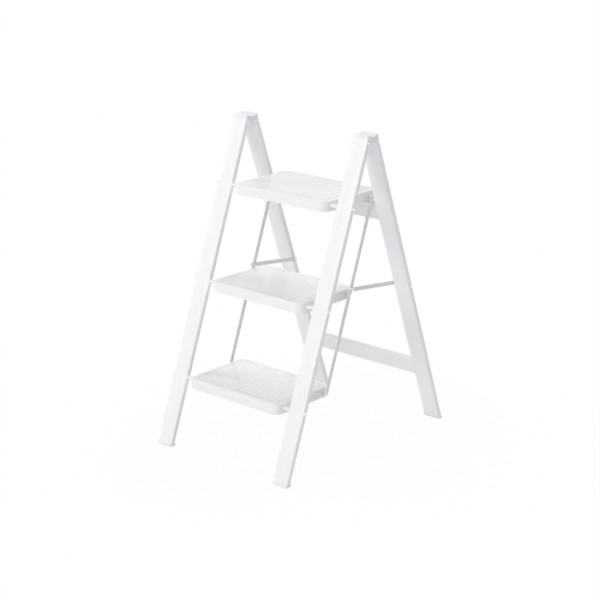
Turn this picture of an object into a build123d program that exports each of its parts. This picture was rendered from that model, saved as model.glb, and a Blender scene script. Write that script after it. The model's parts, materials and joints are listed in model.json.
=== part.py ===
"""A folding three-step stool: front frame with pivoting treads, hinged rear frame, links and stays.

Millimetres, X to the right, Y to the back, Z up. The origin is on the floor, in the middle of the footprint.
"""

import os
from math import atan2, cos, degrees, radians, sin, sqrt, tan

from build123d import *

os.makedirs("parts", exist_ok=True)

# Frames
overall_width = 450.0
hinge_height = 814.5
front_lean = 20.1
rear_lean = 19.7

# Least corner inside a tube or a hollow plug
inner_corner = 0.5

# Front leg tube
front_leg_width = 48.0
front_leg_depth = 15.6
front_leg_crown = 2.8
front_leg_corner = 3.2
front_leg_wall = 1.5

# Rear leg tube
rear_leg_width = 50.0
rear_leg_depth = 13.0
rear_leg_corner = 2.0
rear_leg_wall = 1.5

# Crossbars between the rear legs
crossbar_height = 48.0
crossbar_depth = 12.5
crossbar_corner = 1.6
crossbar_wall = 1.5
lower_crossbar_top = 177.0
link_notch_drop = 24.0
link_notch_depth = 10.0
link_notch_side_room = 2.0
link_notch_clearance = 1.5

# Top caps and their hinge
cap_lip = 0.8
cap_roof = 1.4
cap_edge_round = 0.6
cap_plug_length = 26.0
cap_plug_wall = 2.0
cap_ear_drop = 13.0
cap_ear_width = 10.0
cap_rivet_drop = 8.5
cap_rivet_radius = 1.8
cap_rivet_head_radius = 3.4
cap_rivet_head_height = 1.2
hinge_pin_radius = 2.0
knuckle_radius = 4.6
knuckle_gap = 0.4
front_collar_gap = 1.0
rear_collar_gap = 2.3

# Foot plugs
foot_height = 6.5
foot_lip = 0.9
foot_edge_round = 2.5
foot_plug_length = 24.0
foot_plug_wall = 2.0

# Treads
first_step_height = 185.0
step_rise = 240.0
tread_depth = 205.0
tread_corner = 20.0
tread_skirt = 27.0
tread_wall = 2.6
tread_plate = 3.2
tread_edge_round = 4.5
tread_rest_gap = 0.4
brace_thickness = 2.2
brace_height = 13.0
brace_rows = 2
brace_columns = 4
boss_radius = 8.0
boss_length = 14.0

# Ribbed mat in the top of each tread
mat_margin = 15.0
mat_corner = 9.0
mat_sheet = 1.6
mat_recess = 2.0
rib_pitch = 11.9
rib_width = 7.4
rib_height = 1.0
rib_end_margin = 4.0

# Tread axles
axle_radius = 4.0
axle_drop = 11.5
axle_set_back = 22.5
axle_head_radius = 5.2
axle_head_height = 2.0
axle_head_round = 1.2
spacer_radius = 5.0

# Long links and their rivets
link_width = 9.6
link_thickness = 3.0
link_side_gap = 10.3
link_reach = 147.0
link_drop = 4.0
link_to_spacer_clearance = 0.5
link_pin_radius = 2.5
link_pin_shoulder_radius = 4.5
link_pin_head_radius = 4.6
link_pin_head_height = 1.3

# Stays and their pivots
stay_height = 10.0
stay_thickness = 3.0
stay_gap = 2.0
stay_to_leg_gap = 2.2
stay_bead_width = 5.0
stay_bead_rise = 0.9
stay_bead_end_room = 11.0
stud_above_link_pin = 18.0
stud_radius = 2.5
stud_head_radius = 4.6
stud_head_height = 1.4
stay_rivet_head_height = 1.5
stay_pin_radius = 3.0
stay_pin_head_radius = 5.2
stay_pin_head_height = 2.0
stay_pin_collar_radius = 5.4

# Fits
running_clearance = 0.06
fixed_clearance = 0.02
face_clearance = 0.3

SIDES = (("left", -1), ("right", 1))


def side_vector(y, z):
    """A direction in the side plane, square to X."""
    return Vector(0, y, z)


def turned(vector, degrees_up):
    """A side-plane vector turned so that a rearward one swings upwards."""
    turn = radians(degrees_up)
    y = vector.Y * cos(turn) - vector.Z * sin(turn)
    z = vector.Y * sin(turn) + vector.Z * cos(turn)
    return side_vector(y, z)


# Directions of the legs: up along each leg, and rearward square to it
front_up = side_vector(sin(radians(front_lean)), cos(radians(front_lean)))
front_back = side_vector(cos(radians(front_lean)), -sin(radians(front_lean)))
rear_up = side_vector(-sin(radians(rear_lean)), cos(radians(rear_lean)))
rear_back = side_vector(cos(radians(rear_lean)), sin(radians(rear_lean)))
rear_fold = front_lean + rear_lean

# The hinge stands off each leg by a knuckle and the collar of the leg's cap
knuckle_room = knuckle_radius + knuckle_gap
hinge_to_front_leg = knuckle_room + front_collar_gap + cap_lip + front_leg_depth / 2
hinge_to_rear_leg = knuckle_room + rear_collar_gap + cap_lip + rear_leg_depth / 2

# The hinge stands where the footprint's middle is the origin
front_foot_reach = (
    hinge_height * tan(radians(front_lean))
    + (hinge_to_front_leg + front_leg_depth / 2 + foot_lip) / cos(radians(front_lean))
)
rear_foot_reach = (
    hinge_height * tan(radians(rear_lean))
    + (hinge_to_rear_leg + rear_leg_depth / 2 + foot_lip) / cos(radians(rear_lean))
)
hinge = side_vector((front_foot_reach - rear_foot_reach) / 2, hinge_height)

# Places across the width
front_leg_inner = overall_width / 2 - front_leg_width
rear_leg_inner = overall_width / 2 - rear_leg_width
clear_inside = min(front_leg_inner, rear_leg_inner)
stay_outer = clear_inside - stay_to_leg_gap
stay_inner = stay_outer - stay_thickness
link_outer = stay_inner - stay_gap
link_inner = link_outer - link_thickness
tread_side = link_inner - link_side_gap
tread_width = 2 * tread_side

# Pivots in the side plane
step_names = ("bottom", "middle", "top")
step_tops = [first_step_height + step_rise * step for step in range(len(step_names))]
front_leg_line = hinge - front_back * hinge_to_front_leg
rear_leg_line = hinge + rear_back * hinge_to_rear_leg


def on_front_leg(height):
    """The point at a height on the middle of the front leg's depth."""
    return front_leg_line + front_up * ((height - front_leg_line.Z) / front_up.Z)


axles = [on_front_leg(top - axle_drop) for top in step_tops]
axle_to_link_pin = side_vector(link_reach, -link_drop)
link_pins = [axle + axle_to_link_pin for axle in axles]
stud = link_pins[1] + front_up * stud_above_link_pin

# The treads fold until the links lie against the axle spacers
link_fold_offset = spacer_radius + link_width / 2 + link_to_spacer_clearance
axle_to_link_pin_angle = degrees(atan2(-link_drop, link_reach))
link_stop_angle = degrees(atan2(link_fold_offset, sqrt(axle_to_link_pin.length ** 2 - link_fold_offset ** 2)))
tread_fold = 90 - front_lean - link_stop_angle - axle_to_link_pin_angle
stud_folded = axles[1] + turned(axle_to_link_pin, tread_fold) + front_up * stud_above_link_pin

# The stay has one length at both ends of the fold, which places its pin on the rear leg
rear_line_folded = hinge + turned(rear_leg_line - hinge, -rear_fold)
rear_up_folded = turned(rear_up, -rear_fold)
to_stud = stud - rear_leg_line
to_stud_folded = stud_folded - rear_line_folded
stay_pin_rise = (to_stud.dot(to_stud) - to_stud_folded.dot(to_stud_folded)) / (
    2 * (rear_up.dot(to_stud) - rear_up_folded.dot(to_stud_folded))
)
stay_pin = rear_leg_line + rear_up * stay_pin_rise
stay_pin_folded = rear_line_folded + rear_up_folded * stay_pin_rise
stay_line = stud - stay_pin
stay_line_folded = stud_folded - stay_pin_folded
stay_angle = degrees(atan2(stay_line.Z, stay_line.Y))
stay_fold = degrees(atan2(stay_line_folded.Z, stay_line_folded.Y)) - stay_angle + rear_fold

# Planes that the pieces are drawn on
front_side = Plane(origin=hinge, x_dir=front_back, z_dir=(1, 0, 0))
rear_side = Plane(origin=hinge, x_dir=rear_back, z_dir=(1, 0, 0))
tube_top = -knuckle_radius
cap_top = knuckle_room + cap_roof
cap_height = cap_top - tube_top
leg_run = hinge_height + front_foot_reach + rear_foot_reach


def level(up, rise):
    """A plane square to a leg, at a rise along it from the hinge axis. Its local y points rearwards."""
    return Plane(origin=hinge + up * rise, x_dir=(1, 0, 0), z_dir=up)


def across(point):
    """A plane square to X, through a side-plane point. Its local x points rearwards."""
    return Plane(origin=point, x_dir=(0, 1, 0), z_dir=(1, 0, 0))


def front_outline(grow):
    """The front leg's section, with its crowned front, grown by an amount."""
    half_width = front_leg_width / 2 + grow
    half_depth = front_leg_depth / 2 + grow
    with BuildSketch() as outline:
        with BuildLine():
            Polyline(
                (-half_width, -half_depth + front_leg_crown),
                (-half_width, half_depth),
                (half_width, half_depth),
                (half_width, -half_depth + front_leg_crown),
            )
            ThreePointArc(
                (half_width, -half_depth + front_leg_crown),
                (0, -half_depth),
                (-half_width, -half_depth + front_leg_crown),
            )
        make_face()
        fillet(outline.vertices(), max(front_leg_corner + grow, inner_corner))
    return outline.sketch


def rear_outline(grow):
    """The rear leg's section, grown by an amount."""
    with BuildSketch() as outline:
        RectangleRounded(
            rear_leg_width + 2 * grow,
            rear_leg_depth + 2 * grow,
            max(rear_leg_corner + grow, inner_corner),
        )
    return outline.sketch


class Leg:
    """What differs between a front and a rear leg."""

    def __init__(self, name, up, offset, width, wall, outline, side_plane):
        self.name = name
        self.up = up
        self.offset = offset
        self.width = width
        self.wall = wall
        self.outline = outline
        self.side_plane = side_plane
        self.inner = overall_width / 2 - width

    def place(self, side):
        """The middle of the leg's section on a level plane."""
        return (side * (self.inner + self.width / 2), self.offset)


front = Leg(
    "front", front_up, -hinge_to_front_leg, front_leg_width, front_leg_wall, front_outline, front_side,
)
rear = Leg(
    "rear", rear_up, hinge_to_rear_leg, rear_leg_width, rear_leg_wall, rear_outline, rear_side,
)


def save(builder, name):
    """Label a finished piece and write it."""
    builder.part.label = name
    export_step(builder.part, f"parts/{name}.step")


def in_side_plane(points):
    """Side-plane points as places on a YZ sketch."""
    return [(point.Y, point.Z) for point in points]


def cap_rivet_place(leg):
    """The cap rivet's place on the leg's own side plane."""
    return (leg.offset, tube_top - cap_rivet_drop)


def make_leg(leg, side, pin_places, pin_hole):
    """A leg tube, cut level above its foot, with holes for its pins and cap rivets."""
    with BuildPart() as tube:
        with BuildSketch(level(leg.up, tube_top)):
            with Locations(leg.place(side)):
                add(leg.outline(0))
                add(leg.outline(-leg.wall), mode=Mode.SUBTRACT)
        extrude(amount=-leg_run)
        split(bisect_by=Plane.XY.offset(foot_height), keep=Keep.TOP)
        with BuildSketch(Plane.YZ):
            with Locations(*in_side_plane(pin_places)):
                Circle(pin_hole)
        extrude(amount=overall_width, both=True, mode=Mode.SUBTRACT)
        with BuildSketch(leg.side_plane):
            with Locations(cap_rivet_place(leg)):
                Circle(cap_rivet_radius + fixed_clearance)
        extrude(amount=overall_width, both=True, mode=Mode.SUBTRACT)
    return tube


def make_foot(leg, side):
    """A foot plug: a rim under the tube, flat on the floor, and a hollow plug inside the tube."""
    plug_grow = -leg.wall - fixed_clearance
    with BuildPart() as rim:
        with BuildSketch(level(leg.up, tube_top)):
            with Locations(leg.place(side)):
                add(leg.outline(foot_lip))
        extrude(amount=-leg_run)
        split(bisect_by=Plane.XY.offset(foot_height), keep=Keep.BOTTOM)
        split(bisect_by=Plane.XY, keep=Keep.TOP)
        fillet(rim.faces().sort_by(Axis.Z)[0].edges(), foot_edge_round)
    with BuildPart() as foot:
        with BuildSketch(level(leg.up, tube_top)):
            with Locations(leg.place(side)):
                add(leg.outline(plug_grow))
                add(leg.outline(plug_grow - foot_plug_wall), mode=Mode.SUBTRACT)
        extrude(amount=-leg_run)
        split(bisect_by=Plane.XY.offset(foot_height + foot_plug_length), keep=Keep.BOTTOM)
        split(bisect_by=Plane.XY.offset(foot_height / 2), keep=Keep.TOP)
        add(rim.part)
    return foot


def knuckle_spans(side):
    """The three hinge knuckles across a leg pair, from the inner to the outer one, as (start, end) in X."""
    inner = front_leg_inner - cap_lip
    outer = overall_width / 2 + cap_lip
    third = (outer - inner) / 3
    return [(side * (inner + third * i), side * (inner + third * (i + 1))) for i in range(3)]


def roof_end(toward_leg, rise):
    """Where a cap's roof ends at a rise above the hinge: half a gap from the plane midway between legs."""
    half_angle = radians(rear_fold / 2)
    return (toward_leg * (rise * tan(half_angle) + knuckle_gap / 2 / cos(half_angle)), rise)


def make_cap(leg, side, own_knuckles):
    """A top cap: collar, plug inside the tube, riveted ears, its knuckles and a roof over the other cap's."""
    reach = abs(leg.offset)
    toward_leg = 1 if leg.offset > 0 else -1
    block_width = leg.width + 2 * cap_lip
    middle = leg.place(side)[0]
    plug_grow = -leg.wall - fixed_clearance
    collar_corners = [
        (toward_leg * reach, tube_top),
        (toward_leg * reach, cap_top),
        roof_end(toward_leg, cap_top),
    ]
    roof_corners = [
        roof_end(toward_leg, knuckle_room),
        (toward_leg * knuckle_room, knuckle_room),
        (toward_leg * knuckle_room, tube_top),
    ]
    web_corners = [roof_end(toward_leg, knuckle_radius), (0, knuckle_radius), (0, tube_top)]
    with BuildPart() as cap:
        with BuildSketch(level(leg.up, tube_top)):
            with Locations(leg.place(side)):
                add(leg.outline(cap_lip))
        extrude(amount=cap_height)
        with BuildSketch(leg.side_plane.offset(middle - block_width / 2)):
            with BuildLine():
                Polyline(*collar_corners, *roof_corners, close=True)
            make_face()
        extrude(amount=block_width)
        for index, (start, end) in enumerate(knuckle_spans(side)):
            if index not in own_knuckles:
                continue
            inset = knuckle_gap / 2 * side
            with BuildSketch(leg.side_plane.offset(start + inset)):
                with BuildLine():
                    Polyline(*collar_corners, *web_corners, close=True)
                make_face()
                Circle(knuckle_radius)
            extrude(amount=end - start - 2 * inset)
        fillet(cap.faces().sort_by(Axis((0, 0, 0), leg.up))[-1].edges(), cap_edge_round)
        with BuildSketch(level(leg.up, tube_top)):
            with Locations(leg.place(side)):
                add(leg.outline(plug_grow))
                add(leg.outline(plug_grow - cap_plug_wall), mode=Mode.SUBTRACT)
        extrude(amount=-cap_plug_length)
        for face in (-1, 1):
            with BuildSketch(leg.side_plane.offset(middle + face * leg.width / 2)):
                with Locations((leg.offset, tube_top - cap_ear_drop / 2)):
                    Rectangle(cap_ear_width, cap_ear_drop)
            extrude(amount=face * cap_lip)
        with BuildSketch(leg.side_plane):
            Circle(hinge_pin_radius + (fixed_clearance if leg is front else running_clearance))
            with Locations(cap_rivet_place(leg)):
                Circle(cap_rivet_radius + fixed_clearance)
        extrude(amount=overall_width, both=True, mode=Mode.SUBTRACT)
    return cap


def round_outer_rims(builder, radius):
    """Round the outermost circular edge at each end across the width."""
    rims = builder.edges().filter_by(GeomType.CIRCLE).group_by(Axis.X)
    fillet(list(rims[0]) + list(rims[-1]), radius)


def make_cap_rivets(leg):
    """Rivets through the ears and the tube walls into the cap's plug, two on each leg."""
    length = cap_lip + leg.wall + fixed_clearance + cap_plug_wall
    with BuildPart() as rivets:
        for _, side in SIDES:
            middle = leg.place(side)[0]
            for face in (-1, 1):
                ear = middle + face * (leg.width / 2 + cap_lip)
                with BuildSketch(leg.side_plane.offset(ear)):
                    with Locations(cap_rivet_place(leg)):
                        Circle(cap_rivet_head_radius)
                extrude(amount=face * cap_rivet_head_height, taper=30)
                with BuildSketch(leg.side_plane.offset(ear)):
                    with Locations(cap_rivet_place(leg)):
                        Circle(cap_rivet_radius)
                extrude(amount=-face * length)
    return rivets


def make_hinge_pin(side):
    """A plain pin through the knuckles, flush with the cap's sides."""
    start = knuckle_spans(side)[0][0] + side * knuckle_gap
    end = knuckle_spans(side)[-1][1] - side * knuckle_gap
    with BuildPart() as pin:
        with BuildSketch(across(hinge).offset(start)):
            Circle(hinge_pin_radius)
        extrude(amount=end - start)
    return pin


def link_outline(grow):
    """The long link's outline in the side plane, parallel to the front legs, grown by an amount."""
    lowest, highest = link_pins[0], link_pins[-1]
    middle = (lowest + highest) * 0.5
    with BuildSketch() as outline:
        with Locations(*in_side_plane([middle])):
            SlotCenterToCenter((highest - lowest).length, link_width + 2 * grow, rotation=90 - front_lean)
    return outline.sketch


def link_notch(top_rise, grow):
    """Room for the long links in a crossbar, where they stand and where they pass as the stool folds."""
    front_face = hinge_to_rear_leg - rear_leg_depth / 2
    start = link_inner - link_notch_side_room - grow
    length = link_thickness + 2 * (link_notch_side_room + grow)
    with BuildPart() as notch:
        for _, side in SIDES:
            with BuildSketch(rear_side.offset(side * start)):
                with BuildLine():
                    Polyline(
                        (front_face, top_rise - link_notch_drop),
                        (front_face, top_rise),
                        (front_face + link_notch_depth, top_rise),
                        close=True,
                    )
                make_face()
                if grow:
                    offset(amount=grow, kind=Kind.INTERSECTION)
            extrude(amount=side * length)
            with BuildSketch(Plane.YZ.offset(side * start)):
                add(link_outline(link_notch_clearance + grow))
            extrude(amount=side * length)
    return notch.part


def make_crossbar(top_rise, notched):
    """A flat tube between the rear legs, flush with their front faces, its top at a rise along them.

    The hollow of a notched one keeps the tube's wall around the notches.
    """
    middle = (hinge_to_rear_leg - rear_leg_depth / 2 + crossbar_depth / 2, top_rise - crossbar_height / 2)
    with BuildPart() as hollow:
        with BuildSketch(rear_side):
            with Locations(middle):
                RectangleRounded(
                    crossbar_depth - 2 * crossbar_wall,
                    crossbar_height - 2 * crossbar_wall,
                    inner_corner,
                )
        extrude(amount=rear_leg_inner, both=True)
        if notched:
            add(link_notch(top_rise, crossbar_wall), mode=Mode.SUBTRACT)
    with BuildPart() as bar:
        with BuildSketch(rear_side):
            with Locations(middle):
                RectangleRounded(crossbar_depth, crossbar_height, crossbar_corner)
        extrude(amount=rear_leg_inner, both=True)
        add(hollow.part, mode=Mode.SUBTRACT)
        if notched:
            add(link_notch(top_rise, 0), mode=Mode.SUBTRACT)
    return bar


def make_axle(axle):
    """A rod across both front legs, with a rivet head outside each."""
    with BuildPart() as rod:
        with BuildSketch(across(axle)):
            Circle(axle_radius)
        extrude(amount=overall_width / 2, both=True)
        for _, side in SIDES:
            with BuildSketch(across(axle).offset(side * overall_width / 2)):
                Circle(axle_head_radius)
            extrude(amount=side * axle_head_height)
        round_outer_rims(rod, axle_head_round)
    return rod


def make_spacers(axle):
    """The two bushes on an axle, from each front leg to just clear of the tread."""
    with BuildPart() as bushes:
        for _, side in SIDES:
            with BuildSketch(across(axle).offset(side * front_leg_inner)):
                Circle(spacer_radius)
                Circle(axle_radius + fixed_clearance, mode=Mode.SUBTRACT)
            extrude(amount=-side * (front_leg_inner - tread_side - face_clearance))
    return bushes


def make_tread(top, axle, link_pin):
    """A tread pan: top plate with a recess for its mat, skirt, bosses and braces underneath."""
    front_edge = axle.Y - axle_set_back
    middle = front_edge + tread_depth / 2
    underside = top - tread_skirt
    plate_bottom = top - mat_recess - tread_plate
    inner_width = tread_width - 2 * tread_wall
    inner_depth = tread_depth - 2 * tread_wall
    with BuildPart() as pan:
        with BuildSketch(Plane.XY.offset(underside)):
            with Locations((0, middle)):
                RectangleRounded(tread_width, tread_depth, tread_corner)
        extrude(amount=tread_skirt)
        fillet(pan.faces().sort_by(Axis.Z)[-1].edges(), tread_edge_round)
        with BuildSketch(Plane.XY.offset(underside)):
            with Locations((0, middle)):
                RectangleRounded(inner_width, inner_depth, tread_corner - tread_wall)
        extrude(amount=plate_bottom - underside, mode=Mode.SUBTRACT)
        with BuildSketch(Plane.XY.offset(top)):
            with Locations((0, middle)):
                RectangleRounded(
                    tread_width - 2 * mat_margin + 2 * face_clearance,
                    tread_depth - 2 * mat_margin + 2 * face_clearance,
                    mat_corner + face_clearance,
                )
        extrude(amount=-mat_recess, mode=Mode.SUBTRACT)
        with BuildSketch(Plane.XY.offset(plate_bottom)):
            with Locations((0, middle)):
                with GridLocations(inner_width / (brace_columns + 1), 0, brace_columns, 1):
                    Rectangle(brace_thickness, inner_depth)
                with GridLocations(0, inner_depth / (brace_rows + 1), 1, brace_rows):
                    Rectangle(inner_width, brace_thickness)
        extrude(amount=-brace_height)
        for _, side in SIDES:
            with BuildSketch(Plane.YZ.offset(side * (tread_side - tread_wall))):
                with Locations(*in_side_plane([axle, link_pin])):
                    Circle(boss_radius)
            extrude(amount=-side * boss_length)
        with BuildSketch(Plane.YZ):
            with Locations(*in_side_plane([axle])):
                Circle(axle_radius + running_clearance)
            with Locations(*in_side_plane([link_pin])):
                Circle(link_pin_radius + fixed_clearance)
        extrude(amount=tread_width, both=True, mode=Mode.SUBTRACT)
    return pan


def make_mat(top, axle):
    """The ribbed non-slip mat that lies in a tread's recess."""
    middle = axle.Y - axle_set_back + tread_depth / 2
    mat_width = tread_width - 2 * mat_margin
    mat_depth = tread_depth - 2 * mat_margin
    rib_count = int((mat_depth - 2 * rib_end_margin - rib_width) / rib_pitch) + 1
    sheet_bottom = top - mat_recess
    with BuildPart() as mat:
        with BuildSketch(Plane.XY.offset(sheet_bottom)):
            with Locations((0, middle)):
                RectangleRounded(mat_width, mat_depth, mat_corner)
        extrude(amount=mat_sheet)
        with BuildSketch(Plane.XY.offset(sheet_bottom + mat_sheet)):
            with Locations((0, middle)):
                with GridLocations(0, rib_pitch, 1, rib_count):
                    Rectangle(mat_width, rib_width)
                RectangleRounded(
                    mat_width - 2 * rib_end_margin,
                    mat_depth - 2 * rib_end_margin,
                    mat_corner - rib_end_margin,
                    mode=Mode.INTERSECT,
                )
        extrude(amount=rib_height)
    return mat


def stepped_pin(side, place, rings):
    """A pin of round steps along X: each ring is (radius, start, end), measured out from the middle."""
    with BuildPart() as pin:
        for radius, start, end in rings:
            with BuildSketch(across(place).offset(side * start)):
                Circle(radius)
            extrude(amount=side * (end - start))
    return pin


def pin_pair(place, rings):
    """The same stepped pin on the left and on the right."""
    with BuildPart() as pair:
        for _, side in SIDES:
            add(stepped_pin(side, place, rings).part)
    return pair


def make_link_pins(link_pin):
    """The two shoulder rivets at a tread's rear that carry the long links."""
    head_start = link_outer + face_clearance
    return pin_pair(link_pin, [
        (link_pin_radius, tread_side - tread_wall - boss_length, head_start),
        (link_pin_shoulder_radius, tread_side, link_inner - face_clearance),
        (link_pin_head_radius, head_start, head_start + link_pin_head_height),
    ])


def make_link(side):
    """A long flat link, with holes for the tread rivets and its stud."""
    with BuildPart() as link:
        with BuildSketch(Plane.YZ.offset(side * link_inner)):
            add(link_outline(0))
            with Locations(*in_side_plane(link_pins)):
                Circle(link_pin_radius + running_clearance, mode=Mode.SUBTRACT)
            with Locations(*in_side_plane([stud])):
                Circle(stud_radius + fixed_clearance, mode=Mode.SUBTRACT)
        extrude(amount=side * link_thickness)
    return link


def make_stud(side):
    """The link's half of the pivot to the stay: a stud with a head on each face of the link."""
    return stepped_pin(side, stud, [
        (stud_radius, link_inner, link_outer),
        (stud_head_radius, link_inner - stud_head_height, link_inner),
        (stud_head_radius, link_outer, stay_inner - face_clearance),
    ])


def make_stay(side):
    """A short stay with a raised bead along its outer face, from the rear leg to the long link."""
    middle = (stud + stay_pin) * 0.5
    bead_length = stay_line.length - 2 * stay_bead_end_room
    with BuildPart() as stay:
        with BuildSketch(Plane.YZ.offset(side * stay_inner)):
            with Locations(*in_side_plane([middle])):
                SlotCenterToCenter(stay_line.length, stay_height, rotation=stay_angle)
            with Locations(*in_side_plane([stay_pin])):
                Circle(stay_pin_radius + running_clearance, mode=Mode.SUBTRACT)
            with Locations(*in_side_plane([stud])):
                Circle(stud_radius + fixed_clearance, mode=Mode.SUBTRACT)
        extrude(amount=side * stay_thickness)
        with BuildSketch(Plane.YZ.offset(side * stay_outer)):
            with Locations(*in_side_plane([middle])):
                SlotOverall(bead_length, stay_bead_width, rotation=stay_angle)
        extrude(amount=side * stay_bead_rise, taper=35)
    return stay


def make_stay_rivet(side):
    """The stay's half of the pivot to the link: a rivet head outside, its shank in the stay's eye."""
    return stepped_pin(side, stud, [
        (stud_radius, stay_inner, stay_outer),
        (stud_head_radius, stay_outer, stay_outer + stay_rivet_head_height),
    ])


def make_stay_pins():
    """The two long rivets through the rear legs that the stays turn on."""
    head_start = stay_inner - face_clearance
    return pin_pair(stay_pin, [
        (stay_pin_radius, head_start, overall_width / 2),
        (stay_pin_head_radius, head_start - link_pin_head_height, head_start),
        (stay_pin_collar_radius, stay_outer + face_clearance, rear_leg_inner),
        (stay_pin_head_radius, overall_width / 2, overall_width / 2 + stay_pin_head_height),
    ])


# Legs, feet and caps
leg_pins = ((front, axles, axle_radius), (rear, [stay_pin], stay_pin_radius))
for leg, pin_places, pin_radius in leg_pins:
    own_knuckles = (0, 2) if leg is front else (1,)
    for side_name, side in SIDES:
        save(make_leg(leg, side, pin_places, pin_radius + fixed_clearance), f"{leg.name}_leg_{side_name}")
        save(make_foot(leg, side), f"{leg.name}_foot_{side_name}")
        save(make_cap(leg, side, own_knuckles), f"{leg.name}_cap_{side_name}")
    save(make_cap_rivets(leg), f"{leg.name}_cap_rivets")
for side_name, side in SIDES:
    save(make_hinge_pin(side), f"hinge_pin_{side_name}")

# Crossbars: the upper one carries the top tread's skirt on its rear top edge
crossbar_front = hinge + rear_back * (hinge_to_rear_leg - rear_leg_depth / 2)
crossbar_back = crossbar_front + rear_back * crossbar_depth
upper_rise = (step_tops[-1] - tread_skirt - tread_rest_gap - crossbar_back.Z) / rear_up.Z
lower_rise = (lower_crossbar_top - crossbar_front.Z) / rear_up.Z
save(make_crossbar(upper_rise, notched=True), "upper_crossbar")
save(make_crossbar(lower_rise, notched=False), "lower_crossbar")

# Treads and what carries them
for step_name, top, axle, link_pin in zip(step_names, step_tops, axles, link_pins):
    save(make_axle(axle), f"axle_{step_name}")
    save(make_spacers(axle), f"axle_spacers_{step_name}")
    save(make_tread(top, axle, link_pin), f"tread_{step_name}")
    save(make_mat(top, axle), f"tread_mat_{step_name}")
    save(make_link_pins(link_pin), f"link_rivets_{step_name}")

# Links and stays
for side_name, side in SIDES:
    save(make_link(side), f"link_{side_name}")
    save(make_stud(side), f"link_stud_{side_name}")
    save(make_stay(side), f"stay_{side_name}")
    save(make_stay_rivet(side), f"stay_rivet_{side_name}")
save(make_stay_pins(), "stay_pins")

# Places and ranges of the joints
print("hinge", hinge, "rear fold", rear_fold)
for step_name, axle in zip(step_names, axles):
    print("axle", step_name, axle)
print("tread fold", tread_fold)
print("middle link pin", link_pins[1])
print("stay pin", stay_pin, "stud", stud, "stay fold", stay_fold, "stay length", stay_line.length)
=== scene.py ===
"""A folding three-step stool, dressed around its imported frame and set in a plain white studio.

The file is laid out as an add-on. Property groups hold the sizes and colours, one operator makes each
piece or group of like pieces, and a panel in the sidebar lists them. Lengths are in metres, X is to the
right, Y to the back and Z up.
"""

import functools
import json
import math

import bmesh
import bpy
from bpy.props import FloatProperty, FloatVectorProperty, IntProperty, PointerProperty
from mathutils import Matrix, Vector


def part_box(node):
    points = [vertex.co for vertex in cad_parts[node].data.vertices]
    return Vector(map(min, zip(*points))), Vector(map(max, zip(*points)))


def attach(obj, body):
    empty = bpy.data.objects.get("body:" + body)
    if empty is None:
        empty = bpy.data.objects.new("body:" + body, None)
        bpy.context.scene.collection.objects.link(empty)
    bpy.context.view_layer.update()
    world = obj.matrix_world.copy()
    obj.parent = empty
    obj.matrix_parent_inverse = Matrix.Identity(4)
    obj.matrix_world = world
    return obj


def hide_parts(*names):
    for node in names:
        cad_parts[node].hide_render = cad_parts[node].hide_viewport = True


bl_info = {
    "name": "Folding step stool",
    "version": (1, 0, 0),
    "blender": (4, 5, 0),
    "location": "View3D > Sidebar > Step stool",
    "description": "Dresses a folding three-step stool, piece by piece, around its packed frame",
    "category": "Object",
}

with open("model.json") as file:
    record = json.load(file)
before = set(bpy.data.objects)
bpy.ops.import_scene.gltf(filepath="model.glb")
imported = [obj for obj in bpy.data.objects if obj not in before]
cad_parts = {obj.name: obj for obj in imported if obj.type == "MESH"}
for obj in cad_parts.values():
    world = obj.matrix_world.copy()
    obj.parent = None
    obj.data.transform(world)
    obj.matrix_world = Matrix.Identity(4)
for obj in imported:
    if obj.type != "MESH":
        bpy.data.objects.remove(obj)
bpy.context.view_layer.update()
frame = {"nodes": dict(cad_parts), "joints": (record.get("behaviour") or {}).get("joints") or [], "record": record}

MM = 0.001
STEPS = ("bottom", "middle", "top")
SIDES = (("left", -1), ("right", 1))
BOTH_SIDES = (-1, 1)

# Points closer than this are one, an edge that turns more is a corner, and one that turns less looks smooth
TOUCH = 1e-6
CORNER_ANGLE = math.radians(50)
SMOOTH_ANGLE = math.radians(35)

# Bevel profile of a round edge
ROUND = 0.5

# Steps round a turned piece, a plate's corner and a rounded edge, and across a leg's crown
TURNING_STEPS = 40
PLATE_CORNER_STEPS = 12
EDGE_STEPS = 4
SMALL_EDGE_STEPS = 3
LEAST_EDGE_STEPS = 2
CROWN_STEPS = 10

# Noise keeps mostly between these two values
NOISE_LOW = 0.3
NOISE_HIGH = 0.7

WHITE = (1, 1, 1, 1)


def linear(hex_colour):
    """An sRGB hex colour as linear red, green and blue."""
    shares = [int(hex_colour[i : i + 2], 16) / 255 for i in (0, 2, 4)]
    return tuple(s / 12.92 if s <= 0.04045 else ((s + 0.055) / 1.055) ** 2.4 for s in shares)


def length(name, description, millimetres):
    """A length property whose default is written in millimetres."""
    return FloatProperty(name=name, description=description, default=millimetres * MM, unit="LENGTH")


def position(name, description, x, y, z):
    """A place property in metres."""
    return FloatVectorProperty(
        name=name, description=description, default=(x, y, z), subtype="XYZ", unit="LENGTH",
    )


def colour(name, description, hex_colour):
    """A colour property whose default is written as sRGB hex."""
    default = linear(hex_colour)
    return FloatVectorProperty(name=name, description=description, default=default, subtype="COLOR")


def angle(name, description, degrees):
    """An angle property whose default is written in degrees."""
    return FloatProperty(name=name, description=description, default=math.radians(degrees), subtype="ANGLE")


def number(name, description, value):
    """A plain number property."""
    return FloatProperty(name=name, description=description, default=value)


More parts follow.
